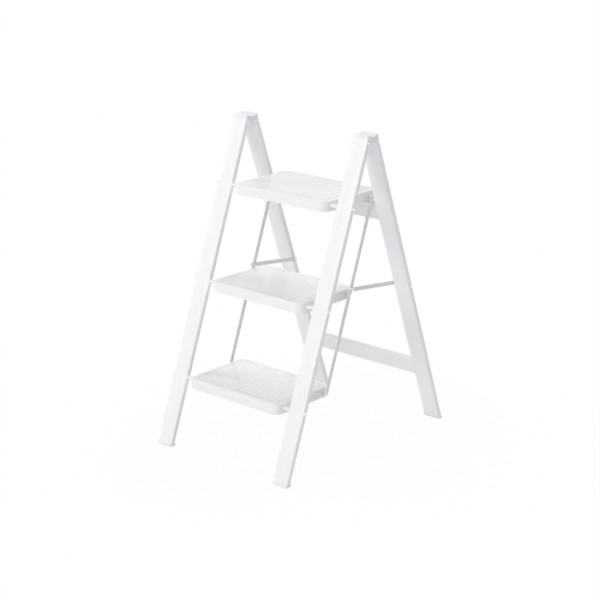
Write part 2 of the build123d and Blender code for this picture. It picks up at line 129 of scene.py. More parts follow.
class StoolTread(bpy.types.PropertyGroup):
    """Sizes of a tread pan that its outer box doesn't give."""

    corner: length("Corner", "Radius of the pan's corners seen from above", 20)
    edge_round: length("Edge round", "Rounding of the top outer edge", 4.5)
    rim_width: length("Rim", "Smooth rim from the outer edge to the mat", 14.7)
    recess_corner: length("Recess corner", "Radius of the recess's corners seen from above", 9.3)
    rim_round: length("Rim inner edge", "Rounding of the rim's inner edge", 0.7)
    recess: length("Recess", "Depth of the recess that holds the mat", 2.0)
    wall: length("Wall", "Thickness of the skirt", 2.6)
    plate: length("Plate", "Thickness of the plate under the mat", 3.2)
    hem_round: length("Hem round", "Rounding of the skirt's lower edge", 0.6)
    brace_thickness: length("Brace thickness", "Thickness of the braces under the plate", 2.2)
    brace_height: length("Brace height", "Height of the braces under the plate", 13)
    brace_rows: IntProperty(name="Brace rows", description="Braces across the width", default=2)
    brace_columns: IntProperty(name="Brace columns", description="Braces from front to back", default=4)
    boss_radius: length("Boss radius", "Radius of the bosses round the pins", 8)
    boss_length: length("Boss length", "Length of the bosses inside the skirt", 14)


class StoolMat(bpy.types.PropertyGroup):
    """Sizes of the ribbed mat in a tread."""

    gap: length("Gap", "Gap between the mat and the rim", 0.3)
    border: length("Border", "Thickness of the mat's plain border", 1.8)
    sheet: length("Sheet", "Thickness of the mat under its ribs", 1.9)
    rib_pitch: length("Rib pitch", "Distance from rib to rib", 11.9)
    rib_width: length("Rib width", "Width of a rib at its foot", 8.9)
    rib_top: length("Rib top", "Width of a rib across its top", 5.3)
    rib_height: length("Rib height", "Height of a rib above the sheet", 0.7)
    rib_round: length("Rib round", "Rounding of a rib's top edges", 0.8)
    rib_slope: length("Rib slope", "Length over which a rib's end comes down", 2.5)
    rib_margin: length("Rib margin", "Width of the plain border round the ribs", 4.0)
    # Painted shade: how much the mat's colour is darkened in the hollows between the ribs
    painted_hollow_shade: number("Hollow tone", "How much darker the hollows between the ribs are", 0.11)


class StoolFrame(bpy.types.PropertyGroup):
    """Sizes of the leg sections, their top caps and their feet."""

    front_depth: length("Front leg depth", "Depth of a front leg", 15.6)
    rear_depth: length("Rear leg depth", "Depth of a rear leg", 13.0)
    leg_offset: length("Leg offset", "From the hinge axis to the middle of a leg", 14.6)
    front_crown: length("Front leg crown", "How far the front of a front leg bulges", 2.8)
    rear_crown: length("Rear leg crown", "How far the back of a rear leg bulges", 0)
    front_corner: length("Front leg corner", "Rounding of a front leg's upright edges", 3.2)
    rear_corner: length("Rear leg corner", "Rounding of a rear leg's upright edges", 2.0)
    knuckle_radius: length("Knuckle radius", "Radius of the hinge knuckles", 4.6)
    cap_roof: length("Cap roof", "Thickness of a cap's roof over the other cap's knuckles", 1.4)
    cap_lip: length("Cap lip", "How far a cap stands proud of its tube", 0.8)
    cap_round: length("Cap edge round", "Rounding of a cap's top edges", 1.3)
    ear_drop: length("Ear drop", "Length of a cap's ear down the side of the leg", 13)
    ear_width: length("Ear width", "Width of a cap's ear", 10)
    ear_round: length("Ear round", "Rounding of an ear's lower edges", 10 / 3)
    knuckle_gap: length("Knuckle gap", "Gap between neighbouring knuckles", 0.4)
    foot_lip: length("Foot lip", "How far a foot stands proud of its tube", 0.9)
    foot_height: length("Foot height", "Height of a foot below its tube", 6.5)
    foot_plug: length("Foot plug", "Length of a foot's plug inside the tube", 24)
    foot_round: length("Foot edge round", "Rounding of a foot's rim", 0.4)
    sole_round: length("Sole round", "Rounding of a foot's lower edge", 2.5)
    tube_wall: length("Tube wall", "Thickness of the tube's wall", 1.5)


class StoolHardware(bpy.types.PropertyGroup):
    """Sizes of links, stays, axles and rivets that their boxes don't give."""

    axle_radius: length("Axle radius", "Radius of an axle between its heads", 4)
    pin_radius: length("Pin radius", "Radius of the rivets' shanks", 2.5)
    stay_pin_radius: length("Stay pin radius", "Radius of the stay pins' shanks", 3)
    shoulder_radius: length("Shoulder radius", "Radius of the link rivets' shoulders", 4.5)
    collar_radius: length("Collar radius", "Radius of the collar beside a rear leg", 5.4)
    stay_pin_head: length("Stay pin head", "Radius of the stay pins' heads", 5.16)
    head_height: length("Head height", "Height of the link rivets' heads", 1.3)
    cap_head_height: length("Cap rivet head", "Height of the cap rivets' heads", 1.2)
    play: length("Play", "Play beside a part that turns", 0.3)
    head_round: length("Head round", "Rounding of the small heads", 0.8)
    axle_head_round: length("Axle head round", "Rounding of the axle heads", 1.4)
    bush_round: length("Bush round", "Rounding of the bushes' ends", 0.4)
    link_width: length("Link width", "Width of a long link", 9.6)
    strip_round: length("Strip round", "Rounding of the edges of links and stays", 0.5)
    stay_height: length("Stay height", "Height of a stay", 10)
    bead_width: length("Bead width", "Width of the bead pressed into a stay", 5)
    bead_rise: length("Bead rise", "Height of the bead pressed into a stay", 0.9)
    bead_round: length("Bead round", "Rounding of the bead", 0.7)
    bead_end_room: length("Bead end room", "Plain strip from a stay's pivot to its bead", 11)


class StoolFinish(bpy.types.PropertyGroup):
    """Colours of the finishes."""

    tube: colour("Tube", "Powder coat on legs and crossbars", "F9FAFC")
    tread: colour("Tread", "Moulded tread pans", "F7F7F9")
    mat: colour("Mat", "Ribbed non-slip mats", "FDFDFD")
    cap: colour("Cap", "Moulded top caps", "F4F4F6")
    foot: colour("Foot", "Moulded feet", "F4F4F6")
    bush: colour("Bush", "Bushes beside the treads", "F6F6F7")
    strip: colour("Strip", "Coat on links and stays", "EAEAEA")
    rivet: colour("Rivet", "Plated rivets and axles", "E4E5E8")


class StoolStage(bpy.types.PropertyGroup):
    """Camera and light."""

    target: position("Target", "Point that the camera looks at", 0.0028, -0.01256, 0.3657)
    azimuth: angle("Azimuth", "Camera's turn from straight in front towards the stool's right", 41.40)
    elevation: angle("Elevation", "Camera's height above the horizon", 17.29)
    distance: length("Distance", "From the camera to its target", 4239.3)
    reach: length("Reach", "How far the camera sees", 16957.2)
    lens: number("Lens", "Focal length in millimetres on a 36 mm sensor", 98.33)
    ambient: number("Ambient", "Strength of the light from all round", 0.42)
    lamp_size: length("Lamp size", "Diameter of each lamp", 2900)
    front: number("Front", "Power of the soft lamp in front", 128.0)
    front_place: position("Front place", "Where the lamp in front stands", -1.1, -6.1, 3.65)
    side: number("Side", "Power of the soft lamp on the left", 75.0)
    side_place: position("Side place", "Where the lamp on the left stands", -6.0, -1.6, 3.65)
    high: number("High", "Power of the soft lamp high at the front right", 61.0)
    high_place: position("High place", "Where the high lamp hangs", 2.25, -3.9, 5.75)
    behind: number("Behind", "Power of the soft lamp behind", 97.0)
    behind_place: position("Behind place", "Where the lamp behind hangs", 0.3, 4.5, 5.0)
    floor_size: length("Floor", "Width of the floor", 40000)
    paper: number("Paper", "Share of its light that the floor sends back", 0.96)
    shadow: number("Shadow", "Share of the floor's white that the stool can shade, under its middle", 0.06)
    shadow_reach: length("Shadow reach", "Where the floor takes no more shadow", 900)


def add_node(tree, kind, settings=None, inputs=None):
    """Add a node with its settings, and with inputs that are plain values or other nodes' outputs."""
    node = tree.nodes.new(kind)
    for name, value in (settings or {}).items():
        setattr(node, name, value)
    for name, value in (inputs or {}).items():
        if isinstance(value, bpy.types.NodeSocket):
            tree.links.new(value, node.inputs[name])
        else:
            node.inputs[name].default_value = value
    return node


def per_mm(size):
    """The scale of a pattern in Object coordinates whose features are that many millimetres across."""
    return 1 / (size * MM)


def new_finish(name):
    """An empty material: its node tree and its Object coordinates."""
    material = bpy.data.materials.new(name)
    material.use_nodes = True
    material.node_tree.nodes.clear()
    place = add_node(material.node_tree, "ShaderNodeTexCoord")
    return material, material.node_tree, place.outputs["Object"]


def close_finish(tree, inputs):
    """End a material in one shader with those inputs."""
    shader = add_node(tree, "ShaderNodeBsdfPrincipled", inputs=inputs)
    add_node(tree, "ShaderNodeOutputMaterial", inputs={"Surface": shader.outputs["BSDF"]})


def mottled(tree, place, base, size, spread):
    """A base colour whose brightness drifts a little from place to place."""
    drift = add_node(tree, "ShaderNodeTexNoise", inputs={
        "Vector": place, "Scale": per_mm(size), "Detail": 3.0,
    })
    share = add_node(tree, "ShaderNodeMapRange", inputs={
        "Value": drift.outputs["Fac"], "To Min": 1 - spread, "To Max": 1 + spread,
    })
    shaded = add_node(tree, "ShaderNodeHueSaturation", inputs={
        "Value": share.outputs["Result"], "Color": (*base, 1),
    })
    return shaded.outputs["Color"]


def uneven(tree, place, size, low, high):
    """A roughness that drifts between two values."""
    drift = add_node(tree, "ShaderNodeTexNoise", inputs={
        "Vector": place, "Scale": per_mm(size), "Detail": 2.0,
    })
    share = add_node(tree, "ShaderNodeMapRange", inputs={
        "Value": drift.outputs["Fac"], "From Min": NOISE_LOW, "From Max": NOISE_HIGH,
        "To Min": low, "To Max": high,
    })
    return share.outputs["Result"]


def grain(tree, place, size, height, detail):
    """A bump of a grain's size and height in millimetres."""
    noise = add_node(tree, "ShaderNodeTexNoise", inputs={
        "Vector": place, "Scale": per_mm(size), "Detail": detail,
    })
    bump = add_node(tree, "ShaderNodeBump", inputs={
        "Height": noise.outputs["Fac"], "Distance": height * MM, "Strength": 1.0,
    })
    return bump.outputs["Normal"]


def plain_finish(name, base, mottling, roughness, texture, **rest):
    """A finish of one shader, with the rest of its inputs given by name.

    Its colour drifts by (size, share) and its roughness by (size, low, high), and its texture is a grain
    of (size, height, detail), in millimetres.
    """
    material, tree, place = new_finish(name)
    close_finish(tree, {
        "Base Color": mottled(tree, place, base, *mottling),
        "Roughness": uneven(tree, place, *roughness),
        "Normal": grain(tree, place, *texture),
        **rest,
    })
    return material


def powder_coated_aluminium(base):
    """White polyester powder baked on drawn tube: satin, with a soft orange peel that breaks up highlights.

    The real peel is 2 to 3 mm across, and is drawn coarser here so that it shows.
    """
    return plain_finish(
        "powder_coated_aluminium", base, (60, 0.012), (150, 0.36, 0.4), (5, 0.008, 2.0), IOR=1.5,
    )


def moulded_abs(base):
    """White ABS from a polished mould with a fine etched grain: clean and semi-gloss, soft reflections."""
    return plain_finish("moulded_abs", base, (45, 0.01), (18, 0.14, 0.2), (2.5, 0.002, 2.0), IOR=1.53)


def ribbed_vinyl(base):
    """White vinyl pressed in ribs: glossy tops, and hollows made a little greyer by painted shade between the
    ribs.

    The treads stand a rise apart, so the height over a tread's rim repeats from tread to tread.
    """
    material, tree, place = new_finish("ribbed_vinyl")
    sizes = bpy.context.scene.stool_mat
    rims = [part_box(f"tread_{step}")[1].z for step in STEPS]
    rise = rims[1] - rims[0]
    hollow = rims[0] - bpy.context.scene.stool_tread.recess + sizes.sheet
    # Painted shade: the colour grows darker from the rib tops down into the hollows, by height over the sheet
    along = add_node(tree, "ShaderNodeSeparateXYZ", inputs={"Vector": place})
    height = add_node(tree, "ShaderNodeMath", {"operation": "WRAP"}, {
        0: along.outputs["Z"], 1: hollow + rise / 2, 2: hollow - rise / 2,
    })
    share = add_node(tree, "ShaderNodeMapRange", inputs={
        "Value": height.outputs[0], "From Min": hollow, "From Max": hollow + sizes.rib_height,
        "To Min": 1 - sizes.painted_hollow_shade, "To Max": 1.0,
    })
    shaded_hollows = add_node(tree, "ShaderNodeHueSaturation", inputs={
        "Value": share.outputs["Result"], "Color": mottled(tree, place, base, 30, 0.012),
    })
    close_finish(tree, {
        "Base Color": shaded_hollows.outputs["Color"],
        "Roughness": uneven(tree, place, 60, 0.07, 0.1),
        "IOR": 1.52,
        "Normal": grain(tree, place, 2.0, 0.002, 2.0),
    })
    return material


def moulded_polypropylene(base):
    """White polypropylene from a lightly blasted mould: dull satin, slightly waxy."""
    return plain_finish(
        "moulded_polypropylene", base, (20, 0.012), (10, 0.4, 0.5), (1.5, 0.004, 3.0), IOR=1.49,
    )


def moulded_rubber(base):
    """Off-white thermoplastic rubber: matt, with a blasted grain and a faint greying from the floor."""
    return plain_finish("moulded_rubber", base, (12, 0.03), (8, 0.55, 0.7), (1.2, 0.008, 3.0), IOR=1.5)


def turned_nylon(base):
    """Natural white nylon, cut from rod: smooth and slightly waxy."""
    return plain_finish("turned_nylon", base, (8, 0.015), (5, 0.35, 0.45), (1.5, 0.006, 2.0), IOR=1.53)


def coated_steel_strip(base):
    """Flat steel strip with a thin white coat: satin, a little greyer and glossier than the tubes."""
    return plain_finish("coated_steel_strip", base, (25, 0.02), (15, 0.3, 0.4), (3, 0.012, 3.0), IOR=1.5)


def zinc_plated_steel(base):
    """Bright zinc on headed steel: a pale metal with cloudy patches."""
    return plain_finish("zinc_plated_steel", base, (4, 0.05), (3, 0.2, 0.32), (0.8, 0.006, 3.0), Metallic=1.0)


FINISHES = {
    "white_coated_tube": (powder_coated_aluminium, "tube"),
    "white_tread": (moulded_abs, "tread"),
    "tread_mat": (ribbed_vinyl, "mat"),
    "cap_plastic": (moulded_polypropylene, "cap"),
    "foot_plastic": (moulded_rubber, "foot"),
    "spacer_nylon": (turned_nylon, "bush"),
    "coated_link": (coated_steel_strip, "strip"),
    "rivet_steel": (zinc_plated_steel, "rivet"),
}


@functools.cache
def finish_of(slot):
    """The material of a slot, made once."""
    make, colour_name = FINISHES[slot]
    return make(getattr(bpy.context.scene.stool_finish, colour_name))


def centre(node):
    """The middle of a CAD node's box."""
    low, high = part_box(node)
    return (low + high) / 2


def radius_of(node):
    """The radius of a node that is turned about the X direction."""
    low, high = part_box(node)
    return (high.z - low.z) / 2


def across(node):
    """Where a node's box starts and ends in X."""
    return tuple(corner.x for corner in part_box(node))


def tread_top(step):
    """The middle of a tread's top, and the tread's width, depth and height."""
    low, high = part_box(f"tread_{step}")
    return Vector(((low.x + high.x) / 2, (low.y + high.y) / 2, high.z)), high - low


BODY_OF = {node: body for body, nodes in frame["record"]["behaviour"]["bodies"].items() for node in nodes}
FOLD_ANGLE = math.radians(next(j for j in frame["joints"] if j["name"] == "rear_fold")["range_deg"][1])
HINGE = centre("hinge_pin_right") * Vector((0, 1, 1))

# The long links run parallel to the front legs, and the two frames close flat on each other
LINK_LINE = centre("link_rivets_top") - centre("link_rivets_bottom")
FRONT_LEAN = math.atan2(LINK_LINE.y, LINK_LINE.z)
REAR_LEAN = FRONT_LEAN - FOLD_ANGLE
LEANS = {"front": FRONT_LEAN, "rear": REAR_LEAN}
LEGS = [(kind, side_name, side) for kind in LEANS for side_name, side in SIDES]

# The way from the hinge to a leg along Y of the leg's own frame, and the thirds of the hinge in its cap
TOWARD_LEG = {"front": -1, "rear": 1}
KNUCKLES = {"front": (0, 2), "rear": (1,)}


def round_corners(bm, verts, radius):
    """Round corners of a face that stands alone, and return the face."""
    others = set(bm.faces) - set(verts[0].link_faces)
    bmesh.ops.bevel(
        bm, geom=verts, offset=radius, offset_type="OFFSET", segments=PLATE_CORNER_STEPS,
        profile=ROUND, affect="VERTICES", material=-1,
    )
    return next(face for face in bm.faces if face not in others)


def rounded_plate(bm, width, depth, corner):
    """A level face of that width and depth about the origin, with round corners."""
    verts = bmesh.ops.create_grid(bm, x_segments=1, y_segments=1, size=0.5)["verts"]
    bmesh.ops.scale(bm, vec=(width, depth, 1), verts=verts)
    return round_corners(bm, verts, corner)


def reshape_corners(face, corner, new_corner):
    """Give a level face about the origin, with round corners of one radius, corners of another."""
    far = Vector((max(vert.co.x for vert in face.verts), max(vert.co.y for vert in face.verts), 0))
    for vert in face.verts:
        quarter = Vector((math.copysign(1, vert.co.x), math.copysign(1, vert.co.y), 0))
        middle = (far - Vector((corner, corner, 0))) * quarter
        new_middle = (far - Vector((new_corner, new_corner, 0))) * quarter
        offset = vert.co - middle
        vert.co = new_middle + Vector((*(offset.xy * new_corner / corner), offset.z))


def at_height(height):
    """A test for points at a height."""
    return lambda point: abs(point.z - height) < TOUCH


def level_faces(faces, height):
    """Those of some faces that lie level at a height."""
    return [face for face in faces if all(at_height(height)(vert.co) for vert in face.verts)]


def flat_face(bm, height):
    """The largest face that lies level at a height."""
    return max(level_faces(bm.faces, height), key=lambda face: face.calc_area())


def inset(bm, height, border):
    """Draw in the largest level face at a height by a border."""
    bmesh.ops.inset_region(bm, faces=[flat_face(bm, height)], thickness=border, use_even_offset=True)


def extrude(bm, face, offset):
    """Extrude a face by an offset, and return the far face. A face of a shell leaves no copy behind."""
    in_shell = all(edge.is_manifold for edge in face.edges)
    made = bmesh.ops.extrude_face_region(bm, geom=[face])["geom"]
    if in_shell:
        bmesh.ops.delete(bm, geom=[face], context="FACES_ONLY")
    bmesh.ops.translate(bm, vec=offset, verts=[g for g in made if isinstance(g, bmesh.types.BMVert)])
    return next(g for g in made if isinstance(g, bmesh.types.BMFace))


def corner_edges(bm, test=lambda point: True):
    """Outward corners of the mesh whose two ends pass a test."""
    bmesh.ops.recalc_face_normals(bm, faces=bm.faces)
    return [
        edge for edge in bm.edges
        if edge.is_manifold and edge.is_convex and edge.calc_face_angle() > CORNER_ANGLE
        and all(test(vert.co) for vert in edge.verts)
    ]


def round_edges(bm, edges, radius, steps=EDGE_STEPS):
    """Round edges to a radius."""
    bmesh.ops.bevel(
        bm, geom=edges, offset=radius, offset_type="OFFSET", segments=steps,
        profile=ROUND, affect="EDGES", clamp_overlap=True, material=-1,
    )


def block(bm, low, high):
    """A box between two corners, and its vertices."""
    low, high = Vector(low), Vector(high)
    place = Matrix.LocRotScale((low + high) / 2, None, high - low)
    return bmesh.ops.create_cube(bm, size=1, matrix=place)["verts"]


def edges_along_x(verts, test):
    """Edges of a block that run along X and whose two ends pass a test."""
    edges = {edge for vert in verts for edge in vert.link_edges}
    return [
        edge for edge in edges
        if abs(edge.verts[0].co.x - edge.verts[1].co.x) > TOUCH and all(test(vert.co) for vert in edge.verts)
    ]


def turned(bm, place, outline, closed=False):
    """Spin an outline of (x, radius) points a full turn about the X direction through a place."""
    verts = [bm.verts.new((x, place.y, place.z + radius)) for x, radius in outline]
    edges = [bm.edges.new(pair) for pair in zip(verts, verts[1:])]
    if closed:
        edges.append(bm.edges.new((verts[-1], verts[0])))
    bmesh.ops.spin(
        bm, geom=verts + edges, cent=place, axis=(1, 0, 0), angle=2 * math.pi,
        steps=TURNING_STEPS, use_merge=True,
    )
    bmesh.ops.remove_doubles(bm, verts=bm.verts, dist=TOUCH)


def stepped(rings, side=1):
    """The outline of a pin on one side, made of (radius, start, end) rings that follow each other along X."""
    outline = [(rings[0][1], 0)]
    for radius, start, end in rings:
        outline += [(start, radius), (end, radius)]
    outline.append((rings[-1][2], 0))
    return [(side * x, radius) for x, radius in outline]


def finish_piece(bm, name, slot, *nodes):
    """Close a modelled mesh as a piece that rides with the CAD nodes it stands for."""
    bmesh.ops.remove_doubles(bm, verts=bm.verts, dist=TOUCH)
    bmesh.ops.recalc_face_normals(bm, faces=bm.faces)
    for face in bm.faces:
        face.smooth = True
    for edge in bm.edges:
        edge.smooth = edge.calc_face_angle(math.pi) < SMOOTH_ANGLE
    mesh = bpy.data.meshes.new(name)
    bm.to_mesh(mesh)
    bm.free()
    mesh.materials.append(finish_of(slot))
    piece = bpy.data.objects.new(name, mesh)
    bpy.context.scene.collection.objects.link(piece)
    even = piece.modifiers.new("Even faces", "WEIGHTED_NORMAL")
    even.keep_sharp = True
    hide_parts(*nodes)
    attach(piece, BODY_OF[nodes[0]])


def coat_node(node, slot):
    """Give a CAD node that stays in view the material of its slot."""
    shown = frame["nodes"][node]
    shown.data.materials.clear()
    shown.data.materials.append(finish_of(slot))


def model_pan(bm, sizes, width, depth, height, pins):
    """A tread pan with its rim at height zero: rim, recess, hollow skirt, braces and pin bosses."""
    extrude(bm, rounded_plate(bm, width, depth, sizes.corner), (0, 0, -height))
    round_edges(bm, corner_edges(bm, at_height(0)), sizes.edge_round)
    inset(bm, 0, sizes.rim_width - sizes.edge_round)
    reshape_corners(flat_face(bm, 0), sizes.corner - sizes.rim_width, sizes.recess_corner)
    extrude(bm, flat_face(bm, 0), (0, 0, -sizes.recess))
    round_edges(bm, corner_edges(bm, at_height(0)), sizes.rim_round)

    ceiling = -sizes.recess - sizes.plate - sizes.brace_height
    inset(bm, -height, sizes.wall)
    extrude(bm, flat_face(bm, -height), (0, 0, height + ceiling))
    round_edges(bm, corner_edges(bm, at_height(-height)), sizes.hem_round, LEAST_EDGE_STEPS)

    inner_width, inner_depth = width - 2 * sizes.wall, depth - 2 * sizes.wall
    cuts = [((1, 0, 0), inner_width, sizes.brace_columns), ((0, 1, 0), inner_depth, sizes.brace_rows)]
    for direction, span, count in cuts:
        for index in range(count):
            cells = level_faces(bm.faces, ceiling)
            geometry = {part for cell in cells for part in (cell, *cell.edges, *cell.verts)}
            offset = ((index + 1) / (count + 1) - 0.5) * span
            bmesh.ops.bisect_plane(
                bm, geom=list(geometry), dist=TOUCH, plane_co=Vector(direction) * offset, plane_no=direction,
            )
    cells = level_faces(bm.faces, ceiling)
    bmesh.ops.inset_individual(bm, faces=cells, thickness=sizes.brace_thickness / 2, use_even_offset=True)
    raised = bmesh.ops.extrude_discrete_faces(bm, faces=cells)["faces"]
    bmesh.ops.translate(
        bm, vec=(0, 0, sizes.brace_height), verts=list({vert for face in raised for vert in face.verts}),
    )

    for side in BOTH_SIDES:
        for pin in pins:
            middle = side * (width / 2 - sizes.wall - sizes.boss_length / 2 + sizes.hem_round)
            bmesh.ops.create_cone(
                bm, cap_ends=True, segments=TURNING_STEPS, depth=sizes.boss_length,
                radius1=sizes.boss_radius, radius2=sizes.boss_radius,
                matrix=Matrix.Translation((middle, pin.y, pin.z)) @ Matrix.Rotation(math.pi / 2, 4, "Y"),
            )


def rib_half_length(outer, half_width, half_depth, corner):
    """Half a rib's length where its outer edge is that far from the middle of a field with round corners."""
    into_corner = max(outer - (half_depth - corner), 0)
    return half_width - corner + math.sqrt(max(corner ** 2 - into_corner ** 2, 0))


def model_mat(bm, sizes, tread, width, depth):
    """A mat with its tread's rim at height zero: a plain border, and ribs from side to side inside it."""
    margin = tread.rim_width + sizes.gap
    mat_width, mat_depth = width - 2 * margin, depth - 2 * margin
    corner = tread.recess_corner - sizes.gap
    border_top = sizes.border - tread.recess
    sheet_top = sizes.sheet - tread.recess
    border = rounded_plate(bm, mat_width, mat_depth, corner)
    bmesh.ops.translate(bm, vec=(0, 0, border_top), verts=border.verts)
    extrude(bm, border, (0, 0, -sizes.border))
    inset(bm, border_top, sizes.rib_margin)
    extrude(bm, flat_face(bm, border_top), (0, 0, sheet_top - border_top))

    half_width, half_depth = mat_width / 2 - sizes.rib_margin, mat_depth / 2 - sizes.rib_margin
    count = int((2 * half_depth - sizes.rib_width) / sizes.rib_pitch) + 1
    for index in range(count):
        middle = (index - (count - 1) / 2) * sizes.rib_pitch
        outer = abs(middle) + sizes.rib_width / 2
        half = rib_half_length(outer, half_width, half_depth, corner - sizes.rib_margin)
        model_rib(bm, sizes, half, middle, sheet_top)


def model_rib(bm, sizes, half_length, middle, foot):
    """One rib along X, rooted in the sheet: a flat top whose sides and ends slope down to the sheet."""
    half_width = sizes.rib_width / 2
    low = (-half_length, middle - half_width, foot - sizes.sheet / 2)
    high = (half_length, middle + half_width, foot)
    root = {face for vert in block(bm, low, high) for face in vert.link_faces}
    crest = extrude(bm, level_faces(root, foot)[0], (0, 0, sizes.rib_height))
    bmesh.ops.scale(
        bm, vec=(1 - sizes.rib_slope / half_length, sizes.rib_top / sizes.rib_width, 1),
        space=Matrix.Translation((0, -middle, 0)), verts=crest.verts,
    )
    round_edges(bm, list(crest.edges), sizes.rib_round, SMALL_EDGE_STEPS)


def leg_place(kind):
    """From a leg's own frame, about the hinge with Z along the leg, to the stool's."""
    return Matrix.Translation(HINGE) @ Matrix.Rotation(-LEANS[kind], 4, "X")


def leg_middle(kind, side_name):
    """The middle of a leg's width in X, and its width."""
    low, high = across(f"{kind}_leg_{side_name}")
    return (low + high) / 2, high - low


def leg_section(bm, sizes, kind, side_name, lip, hinge_side):
    """A leg's section in its own frame, grown by a lip and reaching as far as a place on the hinge side."""
    middle, width = leg_middle(kind, side_name)
    half_width = width / 2 + lip
    way = TOWARD_LEG[kind]
    depth, corner, crown = (getattr(sizes, f"{kind}_{part}") for part in ("depth", "corner", "crown"))
    far = way * (sizes.leg_offset + depth / 2 + lip)
    shares = [index / CROWN_STEPS * 2 - 1 for index in range(CROWN_STEPS + 1)] if crown else (-1, 1)
    outline = [(middle + share * half_width, far - way * crown * share ** 2) for share in shares]
    outline += [(middle + half_width, hinge_side), (middle - half_width, hinge_side)]
    face = bm.faces.new([bm.verts.new((x, y, 0)) for x, y in outline])
    return round_corners(bm, [face.verts[0], face.verts[len(shares) - 1]], corner + lip)


def prism(bm, face, low, high):
    """Stretch a level face at height zero from a height to a higher one."""
    bmesh.ops.translate(bm, vec=(0, 0, high), verts=face.verts)
    extrude(bm, face, (0, 0, low - high))


def cut(bm, point, normal, keep_far):
    """Cut a mesh by a plane, drop the side before it or the far side, and close the cut."""
    made = bmesh.ops.bisect_plane(
        bm, geom=bm.verts[:] + bm.edges[:] + bm.faces[:], dist=TOUCH,
        plane_co=point, plane_no=normal, clear_inner=keep_far, clear_outer=not keep_far,
    )
    edges = [g for g in made["geom_cut"] if isinstance(g, bmesh.types.BMEdge)]
    bmesh.ops.edgeloop_fill(bm, edges=edges)


def model_cap(bm, sizes, kind, side_name, side):
    """A top cap: a roof, a collar on the tube below it, its hinge knuckles and two ears."""
    way = TOWARD_LEG[kind]
    middle, width = leg_middle(kind, side_name)
    radius = sizes.knuckle_radius
    room = radius + sizes.knuckle_gap
    top = room + sizes.cap_roof
    prism(bm, leg_section(bm, sizes, kind, side_name, sizes.cap_lip, 0), room, top)
    half_fold = FOLD_ANGLE / 2
    seam = Vector((0, way * math.cos(half_fold), -math.sin(half_fold)))
    cut(bm, seam * sizes.knuckle_gap / 2, seam, keep_far=True)
    round_edges(bm, corner_edges(bm, at_height(top)), sizes.cap_round)
    prism(bm, leg_section(bm, sizes, kind, side_name, sizes.cap_lip, way * room), -radius, room)

    inner, outer = sorted(abs(x) for x in across(f"front_leg_{side_name}"))
    inner -= sizes.cap_lip
    outer += sizes.cap_lip
    third = (outer - inner) / 3
    for index in KNUCKLES[kind]:
        start = inner + third * index + sizes.knuckle_gap / 2
        end = inner + third * (index + 1) - sizes.knuckle_gap / 2
        ends = sorted((side * start, side * end))
        reach = sorted((-way * radius, way * sizes.leg_offset))
        verts = block(bm, (ends[0], reach[0], -radius), (ends[1], reach[1], radius))
        barrel = edges_along_x(verts, lambda point: abs(point.y + way * radius) < TOUCH)
        round_edges(bm, barrel, radius - TOUCH, PLATE_CORNER_STEPS)

    for face_side in BOTH_SIDES:
        near = middle + face_side * (width / 2 - sizes.cap_lip)
        far = middle + face_side * (width / 2 + sizes.cap_lip)
        ends = sorted((near, far))
        ear_middle = way * sizes.leg_offset
        verts = block(
            bm,
            (ends[0], ear_middle - sizes.ear_width / 2, -radius - sizes.ear_drop),
            (ends[1], ear_middle + sizes.ear_width / 2, -radius),
        )
        lower = edges_along_x(verts, at_height(-radius - sizes.ear_drop))
        round_edges(bm, lower, sizes.ear_round)
    bmesh.ops.transform(bm, matrix=leg_place(kind), verts=bm.verts)


def model_foot(bm, sizes, kind, side_name):
    """A foot: a rim that follows the leg's lean, flat on the floor, and its plug inside the tube."""
    depth = getattr(sizes, f"{kind}_depth")
    hinge_side = TOWARD_LEG[kind] * (sizes.leg_offset - depth / 2 - sizes.foot_lip)
    well_below = -2 * HINGE.z
    prism(bm, leg_section(bm, sizes, kind, side_name, sizes.foot_lip, hinge_side), well_below, 0)
    bmesh.ops.transform(bm, matrix=leg_place(kind), verts=bm.verts)
    cut(bm, (0, 0, sizes.foot_height), (0, 0, 1), keep_far=False)
    cut(bm, (0, 0, 0), (0, 0, 1), keep_far=True)
    inset(bm, sizes.foot_height, sizes.foot_lip + sizes.tube_wall)
    along = leg_place(kind).to_3x3() @ Vector((0, 0, 1))
    extrude(bm, flat_face(bm, sizes.foot_height), along * sizes.foot_plug)
    round_edges(bm, corner_edges(bm, at_height(sizes.foot_height)), sizes.foot_round, SMALL_EDGE_STEPS)
    round_edges(bm, corner_edges(bm, at_height(0)), sizes.sole_round)


def strip_place(start, end, x):
    """From a strip that lies about the origin along Y to one from point to point, its face towards +X."""
    along = ((end - start) * Vector((0, 1, 1))).normalized()
    width_way = along.cross(Vector((1, 0, 0)))
    turn = Matrix((width_way, along, width_way.cross(along))).transposed().to_4x4()
    middle = (start + end) / 2
    return Matrix.Translation((x, middle.y, middle.z)) @ turn


def model_strip(bm, width, span, thickness, edge_round):
    """A flat strip with full-round ends, its pivots a span apart along Y, from height zero up."""
    extrude(bm, rounded_plate(bm, width, span + width, width / 2 - TOUCH), (0, 0, thickness))
    rims = corner_edges(bm, at_height(0)) + corner_edges(bm, at_height(thickness))
    round_edges(bm, rims, edge_round, SMALL_EDGE_STEPS)


def side_distance(point):
    """A point's distance in the side plane, from the origin."""
    return math.hypot(point.y, point.z)


def place_strip(bm, start, end, x, side):
    """Move a modelled strip to its place on the right, or mirror it to the left."""
    mirror = Matrix.Scale(side, 4, (1, 0, 0))
    bmesh.ops.transform(bm, matrix=mirror @ strip_place(start, end, x), verts=bm.verts)


def soft_lamp(name, power, size, place, target):
    """A round area lamp at a place, facing a target."""
    light = bpy.data.lights.new(name, "AREA")
    light.shape = "DISK"
    light.size = size
    light.energy = power
    lamp = bpy.data.objects.new(name, light)
    lamp.location = place
    lamp.rotation_euler = (Vector(place) - Vector(target)).to_track_quat("Z", "Y").to_euler()
    bpy.context.scene.collection.objects.link(lamp)


